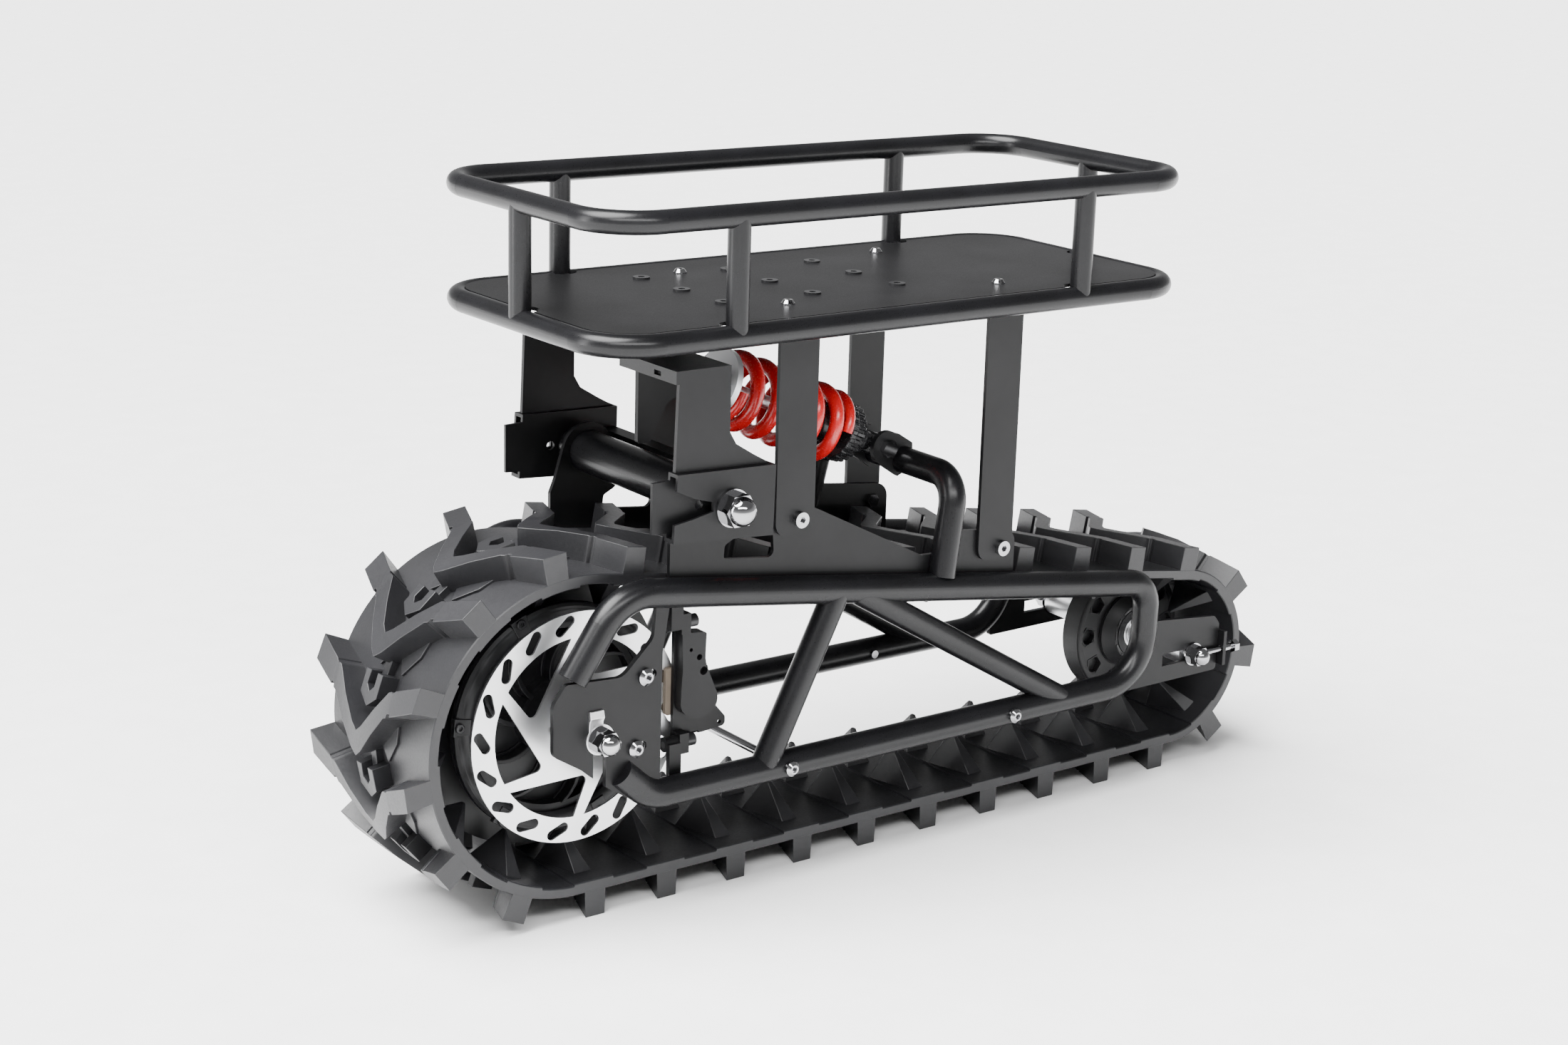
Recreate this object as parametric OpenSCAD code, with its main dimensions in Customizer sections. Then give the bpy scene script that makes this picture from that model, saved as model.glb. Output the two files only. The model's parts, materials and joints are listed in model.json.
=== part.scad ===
// Rear track drive for a light machine: rubber belt on two wheels, tube frame,
// sprung tilting carrier on top and a flat cargo rack.
// +X is forward, +Y is the brake side, +Z is up. The ground is at Z = 0.

/* [Track belt] */
// Width of the rubber belt
belt_w = 165.3; // [150:0.1:167]
// Height of the outer lugs
lug_h = 23; // [18:0.5:26]
// Thickness of the belt band
band_t = 10.5; // [8:0.5:11]
// Outer radius of the band round the drive wheel
front_arc_r = 141.6; // [141:0.1:143]
// Outer radius of the band round the idler
rear_arc_r = 90.2; // [90:0.1:92]
// Lugs round the whole belt
lug_count = 29; // [24:1:30]
// Height of the inner guide teeth
tooth_h = 32; // [24:1:32]

/* [Wheels] */
// Radius of the centre disc of the drive wheel
drive_disc_r = 123; // [116:0.5:123]
// Radius of the barrel between the tooth lanes
drive_barrel_r = 88; // [70:1:90]
// Radius of the brake disc
rotor_r = 101.5; // [90:0.5:102]
// Radius of the idler
idler_r = 68; // [60:0.5:68]
// Radius of both wheel axles
axle_r = 6; // [5:0.5:7]

/* [Side frames] */
// Radius of the frame tubes
tube_r = 12.7; // [10:0.1:12.7]
// Half distance between the side frames, at the tube centres
frame_y = 106; // [106:0.5:108]
// Height of the bottom tube
low_tube_z = 109.9; // [108:0.1:112]
// Thickness of the flat side plates
plate_t = 4; // [3:0.5:4]

/* [Carrier] */
// Radius of the pivot tube
pivot_tube_r = 19; // [16:0.5:19]
// Radius of the pivot axle
pivot_axle_r = 10; // [8:0.5:11]
// Outer half width of the bracket plates
bracket_y = 129; // [128:0.5:130]

/* [Shock absorber] */
// Outer radius of the spring
spring_r = 35; // [32:0.5:36]
// Radius of the spring wire
wire_r = 5.5; // [4:0.25:6]
// Coils of the spring
coils = 6; // [5:1:7]
// Radius of the damper body
damper_r = 16; // [14:0.5:18]

/* [Rack] */
// Length of the rack between tube centres
rack_l = 624; // [600:1:630]
// Width of the rack between tube centres
rack_w = 272.6; // [264:0.2:280]
// Corner radius of the rack tubes
rack_corner_r = 47.8; // [40:0.2:55]
// Radius of the rack tubes
rack_tube_r = 9.8; // [8.5:0.1:9.8]
// Height of the lower ring
low_ring_z = 504.8; // [504:0.2:506]
// Height of the upper ring
top_ring_z = 603.2; // [590:0.2:610]

/* [Hidden] */
$fn = 48;
eps = 0.01;
run_gap = 0.05;      // radial play of every running fit
bend_lap = 1;        // how far a straight tube reaches into its bend
bend_step = 0.05;    // how much thinner it is there
half_w = belt_w / 2;

// Belt path in the XZ plane, [x, z]
front_c = [322.7, lug_h + front_arc_r];
rear_c = [-374, lug_h + rear_arc_r];
run_l = front_c.x - rear_c.x;
top_slope = 2 * atan2(front_c.y - rear_c.y, run_l);
top_a = 90 + top_slope;
rear_sweep = 270 - top_a;
front_sweep = top_a + 90;
rear_len = rear_arc_r * rear_sweep * PI / 180;
front_len = front_arc_r * front_sweep * PI / 180;
belt_len = 2 * run_l + rear_len + front_len;
lug_pitch = belt_len / lug_count;
lug_start = 17;      // first lug, from the front end of the bottom run

// Wheel centres and pivots, [x, z]
front_axle_p = [319.2, 171];
rear_axle_p = [-374, 124];
pivot_p = [205.5, 359];
rear_eye = [-42.5, 356];
front_eye = [165, 445];
shock_l = norm(front_eye - rear_eye);
shock_a = atan2(front_eye.y - rear_eye.y, front_eye.x - rear_eye.x);

// Drum and rotor stack along Y
lane_in = 10.5;
flank_y = 42;
drive_hub_r = 32;
drive_rim = [[84, 34], [92, 34], [99, 41], [101, 44], [101, 46], [98.5, 48], [90, 48], [84, 45]];
drum_y = 70;
rotor_y = 72;
rotor_t = 2;
bearing_r = 14;

// Frame tubes, [x, z, bend radius]
top_z0 = 251.2;
top_k = 0.1402;
function top_z(x) = top_z0 + top_k * x;
rear_x = -304;
upper_start_x = -268;
upper_path = [[upper_start_x, top_z(upper_start_x), 0], [298.6, top_z(298.6), 50],
              [345, 226, 0]];
lower_path = [[upper_start_x, top_z(upper_start_x), 0], [rear_x, top_z(rear_x), 26],
              [rear_x, low_tube_z, 50], [268, low_tube_z, 40], [298, 137, 0]];
front_brace = [[74, top_z(74)], [150, low_tube_z]];
rear_brace = [[54, top_z(54) - 1], [-200, low_tube_z]];
plate_y = 93;        // inner face of the side plates
drop_y = 103.5;
drop_t = 5;
rod_x = 128;
stub_x = -130;
rod_r = 4;

// Struts and rack
front_strut = [98, 139];
rear_strut = [-131, -91];
strut_y = plate_y + plate_t;
strut_t = 4;
rack_x = 19.2;
deck_z = 511;
deck_t = 3;
strut_top_z = deck_z - strut_t;
front_top_bolt = [118.2, 81.2];
rear_top_bolt = [-109.4, 88.7];
front_low_bolt = [114, 329.5];
rear_low_bolt = [-118, 270];
upright_r = 9.5;
upright_x = [209.4, -165.3];
insert_x = [-23, 70.5, 164];
insert_y = [-74, -11, 52];
bolt_r = 4;

// Hoop behind the damper, drawn in its own leaning plane
hoop_r = 12.4;
hoop_foot = [-44.6, 255];
hoop_bar = [-62, 343];
hoop_lean = atan2(hoop_foot.x - hoop_bar.x, hoop_bar.y - hoop_foot.y);
hoop_h = norm(hoop_bar - hoop_foot);
hoop_half = 99;
hoop_splay = 7;
pin_r = 5;
eye_r = 10.5;

// Carrier
leg_y = 122.7;
hat_x = [204.5, 255];
hat_z = [393, 478];
hat_t = 4;
inner_plate_y = 115;
jaw_t = 3;

// ---------- helpers ----------

// Unit vector from a to b
function unit(a, b) = (b - a) / norm(b - a);
function xy(p) = [p[0], p[1]];

// Tangent length of the bend at corner i of a path
function bend_turn(p, i) =
    acos(max(-1, min(1, unit(xy(p[i - 1]), xy(p[i])) * unit(xy(p[i]), xy(p[i + 1])))));
function cut(p, i) = (i == 0 || i == len(p) - 1) ? 0 : p[i][2] * tan(bend_turn(p, i) / 2);

// Outline with every corner [x, y, r] rounded by its own radius
function corner(a, b, c, r, n = 6) =
    let (u = unit(xy(b), xy(a)), v = unit(xy(b), xy(c)),
         half = acos(max(-1, min(1, u * v))) / 2,
         centre = xy(b) + (u + v) / norm(u + v) * r / sin(half),
         p = xy(b) + u * r / tan(half), q = xy(b) + v * r / tan(half),
         a0 = atan2(p.y - centre.y, p.x - centre.x),
         a1 = atan2(q.y - centre.y, q.x - centre.x),
         turn = (a1 - a0 > 180) ? a1 - a0 - 360 : (a1 - a0 < -180) ? a1 - a0 + 360 : a1 - a0)
    [for (k = [0:n]) centre + r * [cos(a0 + turn * k / n), sin(a0 + turn * k / n)]];
function rounded(p) = [for (i = [0:len(p) - 1])
    let (a = p[(i + len(p) - 1) % len(p)], b = p[i], c = p[(i + 1) % len(p)])
    each (b[2] > 0 ? corner(a, b, c, b[2]) : [xy(b)])];

// Flat plate drawn in XZ, from y to y + t
module sheet(y, t) {
    translate([0, y + t, 0]) rotate([90, 0, 0]) linear_extrude(t) children();
}

// Round bar along Y through p = [x, z]
module bar_y(p, r, y0, y1) {
    translate([p.x, y0, p.y]) rotate([-90, 0, 0]) cylinder(h = y1 - y0, r = r);
}

// Round bar between two points in the XZ plane
module bar_xz(a, b, r, y) {
    translate([a.x, y, a.y]) rotate([0, 90 - atan2(b.y - a.y, b.x - a.x), 0])
        cylinder(h = norm(b - a), r = r);
}

// Bent tube in the local XY plane through [x, y, bend radius] points. Each straight is a
// hair thinner than the bends and ends just inside them.
module bent_tube(p, r) {
    last = len(p) - 1;
    for (i = [0:last - 1]) {
        u = unit(xy(p[i]), xy(p[i + 1]));
        a = xy(p[i]) + u * (cut(p, i) - (i > 0 ? bend_lap : 0));
        b = xy(p[i + 1]) - u * (cut(p, i + 1) - (i + 1 < last ? bend_lap : 0));
        translate([a.x, a.y, 0]) rotate([0, 0, atan2(u.y, u.x)])
            rotate([0, 90, 0]) cylinder(h = norm(b - a), r = r - bend_step);
    }
    for (i = [1:len(p) - 2]) {
        u = unit(xy(p[i - 1]), xy(p[i]));
        v = unit(xy(p[i]), xy(p[i + 1]));
        side = (u.x * v.y - u.y * v.x) > 0 ? 1 : -1;
        start = xy(p[i]) - u * cut(p, i);
        centre = start + side * p[i][2] * [-u.y, u.x];
        a0 = atan2(start.y - centre.y, start.x - centre.x);
        turn = bend_turn(p, i);
        translate([centre.x, centre.y, 0]) rotate([0, 0, side > 0 ? a0 : a0 - turn])
            rotate_extrude(angle = turn) translate([p[i][2], 0]) circle(r);
    }
}

// Path given in XZ, laid in the plane y
module tube_xz(p, r, y) {
    translate([0, y, 0]) rotate([90, 0, 0]) bent_tube(p, r);
}

module both_sides() {
    children();
    mirror([0, 1, 0]) children();
}

// Hexagon head or nut on Y
module hex_y(p, r, y0, y1) {
    translate([p.x, y0, p.y]) rotate([-90, 0, 0]) cylinder(h = y1 - y0, r = r, $fn = 6);
}

// Domed nut on Y with its washer, blind hole of radius bore
module domed_nut(p, y, r, h, bore, washer_t = 2) {
    difference() {
        union() {
            bar_y(p, r + 1.5, y, y + washer_t);
            hex_y(p, r, y + washer_t, y + h);
            intersection() {
                translate([p.x, y + h - 1, p.y]) sphere(r * 0.86);
                bar_y(p, r, y + washer_t, y + h + r);
            }
        }
        bar_y(p, bore, y - 1, y + h);
    }
}

// Point on the belt: s along the path, y across, h out of the outer face
function belt_point(s, y, h) =
    let (t = ((s % belt_len) + belt_len) % belt_len)
    t < run_l ? [front_c.x - t, y, lug_h - h]
    : t < run_l + rear_len ?
        let (a = 270 - (t - run_l) / rear_arc_r * 180 / PI)
        [rear_c.x + (rear_arc_r + h) * cos(a), y, rear_c.y + (rear_arc_r + h) * sin(a)]
    : t < 2 * run_l + rear_len ?
        let (d = t - run_l - rear_len)
        [rear_c.x + (rear_arc_r + h) * cos(top_a) + d * cos(top_slope), y,
         rear_c.y + (rear_arc_r + h) * sin(top_a) + d * sin(top_slope)]
    : let (a = top_a - (t - 2 * run_l - rear_len) / front_arc_r * 180 / PI)
        [front_c.x + (front_arc_r + h) * cos(a), y, front_c.y + (front_arc_r + h) * sin(a)];

// Rubber rib that follows the belt through stations [s, y, half width, top half width]
module rib(stations, h0, h1) {
    n = len(stations);
    points = [for (q = stations) each [
        belt_point(q[0] - q[2], q[1], h0), belt_point(q[0] + q[2], q[1], h0),
        belt_point(q[0] + q[3], q[1], h1), belt_point(q[0] - q[3], q[1], h1)]];
    faces = concat([[0, 1, 2, 3]],
        [for (k = [0:n - 2], e = [0:3]) let (a = 4 * k + e, b = 4 * k + (e + 1) % 4)
            each [[a, a + 4, b + 4], [a, b + 4, b]]],
        [[for (e = [3:-1:0]) 4 * (n - 1) + e]]);
    polyhedron(points, faces);
}

// ---------- belt ----------

belt_root = 1.5;     // how deep lugs and teeth are moulded into the band
lug_half = 10.5;
lug_top_half = 9;
// Chevron: distance across from the middle and lead along the belt
chevron = [[half_w - 0.1, 0], [62, 7], [41, 14], [24, 31], [8, 47]];
block_half = 14;
block_h = 16;

module belt_arc(c, r, a0, sweep) {
    translate([c.x, half_w, c.y]) rotate([90, 0, 0]) rotate([0, 0, a0])
        rotate_extrude(angle = sweep, $fn = 96) translate([r - band_t, 0]) square([band_t, belt_w]);
}

module belt_band() color("#191a1c") {
    belt_arc(rear_c, rear_arc_r, top_a, rear_sweep);
    belt_arc(front_c, front_arc_r, -90, front_sweep);
    translate([rear_c.x - bend_lap, -half_w + bend_step, lug_h + bend_step])
        cube([run_l + 2 * bend_lap, belt_w - 2 * bend_step, band_t - 2 * bend_step]);
    translate([rear_c.x, half_w - bend_step, rear_c.y]) rotate([90, 0, 0]) rotate([0, 0, top_slope])
        translate([-bend_lap, rear_arc_r - band_t + bend_step])
            cube([run_l + 2 * bend_lap, band_t - 2 * bend_step, belt_w - 2 * bend_step]);
}

module belt_lugs() color("#1d1e20") {
    mirrored = [for (k = [len(chevron) - 1:-1:0]) [-chevron[k][0], chevron[k][1]]];
    for (i = [0:lug_count - 1]) {
        s = lug_start + i * lug_pitch;
        rib([for (q = concat(chevron, mirrored)) [s + q[1], q[0], lug_half, lug_top_half]],
            -belt_root, lug_h);
        rib([for (y = [block_half, -block_half])
            [s + lug_pitch / 2 + chevron[4][1], y, block_half, block_half - 2]],
            -belt_root, block_h);
    }
}

// Corners of a guide tooth: distance behind its lug, and distance from the middle of the belt
tooth_base = [[52, 15.5], [65, 64], [82, 64], [80, 15.5]];
tooth_tip = [[68, 28], [68, 32], [71, 32], [71, 28]];

module belt_teeth() color("#222326") {
    for (i = [0:lug_count - 1], side = [1, -1]) {
        s = lug_start + i * lug_pitch;
        in = -band_t + belt_root;
        points = concat([for (q = tooth_base) belt_point(s + q[0], side * q[1], in)],
                        [for (q = tooth_tip) belt_point(s + q[0], side * q[1], -band_t - tooth_h)]);
        loop = [for (e = [0:3]) let (f = (e + 1) % 4) each [[e, f, f + 4], [e, f + 4, e + 4]]];
        sides = concat([[3, 2, 1], [3, 1, 0]], loop, [[4, 5, 6], [4, 6, 7]]);
        polyhedron(points, side > 0 ? [for (q = sides) [q[2], q[1], q[0]]] : sides);
    }
}

// ---------- side frames ----------

module upper_tube() { tube_xz(upper_path, tube_r, frame_y); }

module upper_tube_left() color("#202124") upper_tube();

module lower_tube() { tube_xz(lower_path, tube_r, frame_y); }

module lower_tube_left() color("#202124") difference() {
    lower_tube();
    for (x = [rod_x, stub_x]) bar_y([x, low_tube_z], rod_r, frame_y - 15, frame_y + 15);
}

module brace_cut() {
    bar_xz([-280, top_z(-280)], [280, top_z(280)], tube_r, frame_y);
    bar_xz([-290, low_tube_z], [260, low_tube_z], tube_r, frame_y);
}

brace_r = tube_r - 0.5;

module front_brace_left() difference() {
    bar_xz(front_brace[0], front_brace[1], brace_r, frame_y);
    brace_cut();
}

module rear_brace_left() difference() {
    bar_xz(rear_brace[0], rear_brace[1], brace_r - 0.3, frame_y);
    brace_cut();
    bar_xz(front_brace[0], front_brace[1], brace_r, frame_y);
}

module front_braces() color("#202124") both_sides() front_brace_left();
module rear_braces() color("#202124") both_sides() rear_brace_left();

// Rail, pivot lug, strut foot and rear gusset in one sheet
foot_z = 5;          // lower edge over the tube centre line
side_outline = [[244.6, top_z(244.6) + foot_z, 0], [244.6, 325, 3], [240, 336, 8], [231, 365, 0],
    [179.5, 357, 0], [175, 323, 6], [189, 316, 4], [190, 304, 3], [137, 298, 6], [140, 330, 12],
    [98, 338, 10], [-28, 275, 8], [-53, 274, 4], [-55, 294, 6], [-138, 284, 14],
    [-138, top_z(-138) + foot_z, 0]];

module side_plate_left() color("#1f2023") difference() {
    sheet(plate_y, plate_t) union() {
        polygon(rounded(side_outline));
        translate(pivot_p) circle(26);
    }
    bar_xz([-200, top_z(-200)], [266, top_z(266)], tube_r, frame_y);
    bar_y(pivot_p, pivot_tube_r, plate_y - 1, strut_y + 1);
    bar_y(front_low_bolt, bolt_r, plate_y - 1, strut_y + 1);
    bar_y(rear_low_bolt, bolt_r, plate_y - 1, strut_y + 1);
    hoop_leg();
}

// Plate that carries one end of the drive axle
drop_outline = [[364, 164, 8], [364, 208, 14], [352, 224, 5], [297, 221, 16], [267, 250, 12],
    [264, top_z(264), 0], [250, top_z(250), 0], [258, 236, 12], [259, 123, 5], [272, 112.6, 0],
    [291, 113, 6], [317, 130, 6], [335, 146, 6]];
slot_half = axle_r + 0.2;
drop_bolts = [[275, 218], [284, 156]];
drop_slot = 7.2;     // each bolt stands in a slot this much longer than the bolt

module dropout_left() color("#1f2023") difference() {
    sheet(drop_y, drop_t) polygon(rounded(drop_outline));
    upper_tube();
    lower_tube();
    bar_y(front_axle_p, slot_half, drop_y - 1, drop_y + drop_t + 1);
    translate([front_axle_p.x - slot_half, drop_y - 1, 100])
        cube([2 * slot_half, drop_t + 2, front_axle_p.y - 100]);
    for (p = drop_bolts) {
        bar_y(p, bolt_r, drop_y - 1, drop_y + drop_t + 1);
        bar_y(p + [-drop_slot, 1], bolt_r, drop_y - 1, drop_y + drop_t + 1);
    }
}

// Rear plate with the slot in which the idler axle is set back
slide_y = 100;
slide_t = 5;
slot_front_x = -333;

module slide_plates() color("#1f2023") both_sides() difference() {
    sheet(slide_y, slide_t) polygon(rounded([[-286, 101, 2], [-294, 125, 0], [rear_x, 165, 0],
        [-325, 166, 4], [-402, 158.5, 5], [-409, 150, 5], [-408, 102, 4]]));
    lower_tube();
    translate([rear_axle_p.x, slide_y - 1, rear_axle_p.y - slot_half])
        cube([slot_front_x - rear_axle_p.x, slide_t + 2, 2 * slot_half]);
    bar_y(rear_axle_p, slot_half, slide_y - 1, slide_y + slide_t + 1);
}

module adjuster_plates() color("#26272a") both_sides() difference() {
    translate([-413, slide_y - 3, 108]) cube([4, 16, 35]);
    translate([-420, slide_y + 8.5, rear_axle_p.y]) rotate([0, 90, 0]) cylinder(h = 16, r = 3.6);
}

module cross_rod() color("silver")
    bar_y([rod_x, low_tube_z], rod_r, -frame_y - tube_r - 1.5, frame_y + tube_r + 1.5);

// Button head on Y with a hexagon socket
module button_head(p, y, r) difference() {
    union() {
        bar_y(p, r, y, y + 3);
        translate([p.x, y + 3, p.y]) rotate([-90, 0, 0]) cylinder(h = 2.5, r1 = r, r2 = r * 0.6);
    }
    hex_y(p, r * 0.42, y + 2, y + 7);
}

module frame_bolts() color("silver") both_sides() {
    for (x = [rod_x, stub_x]) difference() {
        button_head([x, low_tube_z], frame_y + tube_r, 6.8);
        bar_y([rod_x, low_tube_z], rod_r, 0, frame_y + tube_r + 1.5);
    }
    bar_y([stub_x, low_tube_z], rod_r, frame_y - tube_r - 2, frame_y + tube_r);
    for (p = drop_bolts) {
        button_head(p, drop_y + drop_t, 7.6);
        bar_y(p, bolt_r, drop_y, drop_y + drop_t);
    }
}

// ---------- hoop and pivot ----------

module hoop_place() {
    translate([hoop_foot.x, 0, hoop_foot.y]) rotate([0, -hoop_lean, 0]) rotate([90, 0, 90]) children();
}

module hoop_leg() {
    hoop_place() translate([hoop_half + hoop_splay, 0, 0])
        rotate([0, 0, 90 + atan2(hoop_splay, hoop_h)]) rotate([0, 90, 0]) cylinder(h = 60, r = hoop_r);
}

module hoop_tube() color("#202124") difference() {
    hoop_place() bent_tube([[hoop_half + hoop_splay, 0, 0], [hoop_half, hoop_h, 28],
        [-hoop_half, hoop_h, 28], [-hoop_half - hoop_splay, 0, 0]], hoop_r);
    both_sides() bar_xz([-100, top_z(-100)], [20, top_z(20)], tube_r, frame_y);
}

clevis_y = 18;
clevis_t = 5;

module clevis_plates() color("#1f2023") both_sides() difference() {
    sheet(clevis_y, clevis_t) union() {
        translate(rear_eye) circle(16);
        polygon([[-36, 371], [-56, 368], [-72, 358], [-74, 336], [-56, 328], [-30, 345]]);
    }
    bar_y(hoop_bar, hoop_r, 0, 40);
    bar_y(rear_eye, pin_r, 0, 40);
}

module shock_pin_rear() color("silver") {
    bar_y(rear_eye, pin_r, -clevis_y - clevis_t, clevis_y + clevis_t + 3);
    hex_y(rear_eye, 8.5, clevis_y + clevis_t, clevis_y + clevis_t + 6);
    mirror([0, 1, 0]) hex_y(rear_eye, 8.5, clevis_y + clevis_t, clevis_y + clevis_t + 6);
}

pivot_end = 112;
bushing_r = 15;
bushing_l = 24;

module pivot_tube() color("#202124") difference() {
    bar_y(pivot_p, pivot_tube_r, -pivot_end, pivot_end);
    bar_y(pivot_p, bushing_r, -pivot_end - 1, pivot_end + 1);
}

module pivot_bushings() color("#b08d4a") both_sides() difference() {
    bar_y(pivot_p, bushing_r, pivot_end - bushing_l, pivot_end);
    bar_y(pivot_p, pivot_axle_r + run_gap, pivot_end - bushing_l - 1, pivot_end + 1);
}

// ---------- rack ----------

module rack_ring(z) {
    hx = rack_l / 2 - rack_corner_r;
    hy = rack_w / 2 - rack_corner_r;
    translate([rack_x, 0, z]) {
        for (s = [1, -1]) {
            translate([-hx - bend_lap, s * rack_w / 2, 0]) rotate([0, 90, 0])
                cylinder(h = 2 * (hx + bend_lap), r = rack_tube_r - bend_step);
            translate([s * rack_l / 2, -hy - bend_lap, 0]) rotate([-90, 0, 0])
                cylinder(h = 2 * (hy + bend_lap), r = rack_tube_r - bend_step);
        }
        for (q = [[1, 1, 0], [-1, 1, 90], [-1, -1, 180], [1, -1, 270]])
            translate([q[0] * hx, q[1] * hy, 0]) rotate([0, 0, q[2]])
                rotate_extrude(angle = 90) translate([rack_corner_r, 0]) circle(rack_tube_r);
    }
}

module lower_ring() color("#202124") rack_ring(low_ring_z);
module upper_ring() color("#202124") rack_ring(top_ring_z);

// One upright, coped round the tube above and below it; along says which way the tubes run
module upright(x, y, along) difference() {
    translate([x, y, low_ring_z]) cylinder(h = top_ring_z - low_ring_z, r = upright_r);
    for (z = [low_ring_z, top_ring_z])
        translate([x, y, z]) rotate(along) cylinder(h = 60, r = rack_tube_r, center = true);
}

module rack_uprights() color("#202124") {
    for (x = upright_x, s = [1, -1]) upright(x, s * rack_w / 2, [0, 90, 0]);
    for (s = [1, -1]) upright(rack_x + s * rack_l / 2, 0, [90, 0, 0]);
}

deck_edge = 5.5;
module rack_plate() color("#232427") difference() {
    translate([rack_x, 0, deck_z]) linear_extrude(deck_t)
        polygon(rounded([for (q = [[1, 1], [-1, 1], [-1, -1], [1, -1]])
            [q[0] * (rack_l / 2 - deck_edge), q[1] * (rack_w / 2 - deck_edge),
            rack_corner_r - deck_edge]]));
    rack_ring(low_ring_z);
    for (x = upright_x, s = [1, -1])
        translate([x, s * (rack_w / 2 - 3), deck_z - 1]) cylinder(h = deck_t + 2, r = upright_r + 4);
    for (s = [1, -1])
        translate([rack_x + s * (rack_l / 2 - 3), 0, deck_z - 1])
            cylinder(h = deck_t + 2, r = upright_r + 4);
    for (x = insert_x, y = insert_y) translate([x, y, deck_z - 1]) cylinder(h = deck_t + 2, r = 5);
    for (q = [front_top_bolt, rear_top_bolt], s = [1, -1])
        translate([q.x, s * q.y, deck_z - 1]) cylinder(h = deck_t + 2, r = bolt_r);
}

module rack_inserts() color("#141416") {
    for (x = insert_x, y = insert_y) translate([x, y, 0]) difference() {
        union() {
            translate([0, 0, deck_z - 9]) cylinder(h = deck_t + 9, r = 5);
            translate([0, 0, deck_z + deck_t]) cylinder(h = 1.6, r = 7.5);
            translate([0, 0, deck_z - 9]) cylinder(h = 9, r = 6.5);
        }
        translate([0, 0, deck_z - 10]) cylinder(h = deck_t + 13, r = 3);
    }
}

module rack_bolts() color("silver") {
    for (q = [front_top_bolt, rear_top_bolt], s = [1, -1]) translate([q.x, s * q.y, 0]) difference() {
        union() {
            translate([0, 0, strut_top_z - 6]) cylinder(h = deck_t + strut_t + 7, r = bolt_r);
            translate([0, 0, strut_top_z - 6]) cylinder(h = 6, r = 7, $fn = 6);
            translate([0, 0, deck_z + deck_t]) cylinder(h = 1, r = 6);
            translate([0, 0, deck_z + deck_t + 1]) cylinder(h = 3, r1 = 6, r2 = 3.8);
        }
        translate([0, 0, deck_z + deck_t + 2]) cylinder(h = 4, r = 2.2, $fn = 6);
    }
}

// Flat bar with its top bent inwards under the rack plate
module strut(span, bottom, low_bolt, top_bolt) difference() {
    union() {
        sheet(strut_y, strut_t) polygon(rounded([[span[0], bottom, 12], [span[1], bottom, 12],
            [span[1], deck_z, 0], [span[0], deck_z, 0]]));
        translate([span[0], 66, strut_top_z]) cube([span[1] - span[0], strut_y - 66 + eps, strut_t]);
    }
    bar_y(low_bolt, bolt_r, strut_y - 1, strut_y + strut_t + 1);
    translate([top_bolt.x, top_bolt.y, strut_top_z - 1]) cylinder(h = strut_t + 2, r = bolt_r);
}

module front_struts() color("#1f2023") both_sides() strut(front_strut, 316, front_low_bolt, front_top_bolt);
module rear_struts() color("#1f2023") both_sides() strut(rear_strut, 260, rear_low_bolt, rear_top_bolt);

module strut_bolts() color("#2b2c2e") both_sides() for (p = [front_low_bolt, rear_low_bolt]) difference() {
    union() {
        bar_y(p, bolt_r, plate_y, strut_y + strut_t);
        bar_y(p, 7, strut_y + strut_t, strut_y + strut_t + 5);
        hex_y(p, 7, plate_y - 5, plate_y);
    }
    hex_y(p, 3.2, strut_y + strut_t + 2, strut_y + strut_t + 6);
}

// ---------- drive wheel ----------

axle_end = 122;

module front_axle() color("silver") bar_y(front_axle_p, axle_r, -axle_end, axle_end);

module front_spacers() color("#77797c") both_sides() difference() {
    bar_y(front_axle_p, 11, drum_y + 0.4, drop_y);
    bar_y(front_axle_p, axle_r, 0, 200);
}

module front_nuts() color("silver") both_sides()
    domed_nut(front_axle_p, drop_y + drop_t, 11, 16, axle_r, 2);

// Barrel with a middle disc and a rim on each side, kept clear of the two rows of teeth
module drive_drum() color("#e9e9ea") difference() {
    union() {
        bar_y(front_axle_p, drive_barrel_r, -flank_y, flank_y);
        bar_y(front_axle_p, drive_disc_r, -lane_in, lane_in);
        bar_y(front_axle_p, drive_hub_r, -drum_y, rotor_y);
        both_sides() translate([front_axle_p.x, 0, front_axle_p.y]) rotate([-90, 0, 0])
            rotate_extrude() polygon(drive_rim);
    }
    bar_y(front_axle_p, bearing_r, -drum_y - 5, drum_y + 5);
    both_sides() difference() {
        bar_y(front_axle_p, 78, flank_y - 12, flank_y + 10);
        bar_y(front_axle_p, drive_hub_r + 4, flank_y - 13, flank_y + 11);
    }
}

module drum_bearings() color("#9a9c9f") both_sides() difference() {
    bar_y(front_axle_p, bearing_r, drum_y - 12, drum_y);
    bar_y(front_axle_p, axle_r + run_gap, drum_y - 13, drum_y + 1);
}

rotor_slots = 18;
rotor_arms = 6;
rotor_track = 22;    // width of the braking band
slot_l = 12.5;         // between the round ends of a slot
slot_w = 9;

function polar(r, a) = r * [cos(a), sin(a)];

// One window between two slanted arms
module rotor_window() intersection() {
    circle(rotor_r - rotor_track);
    polygon(rounded([[each polar(45, 16), 5], [each polar(96, 36), 0], [each polar(104, 60), 0],
        [each polar(91, 90), 0]]));
}

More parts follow.
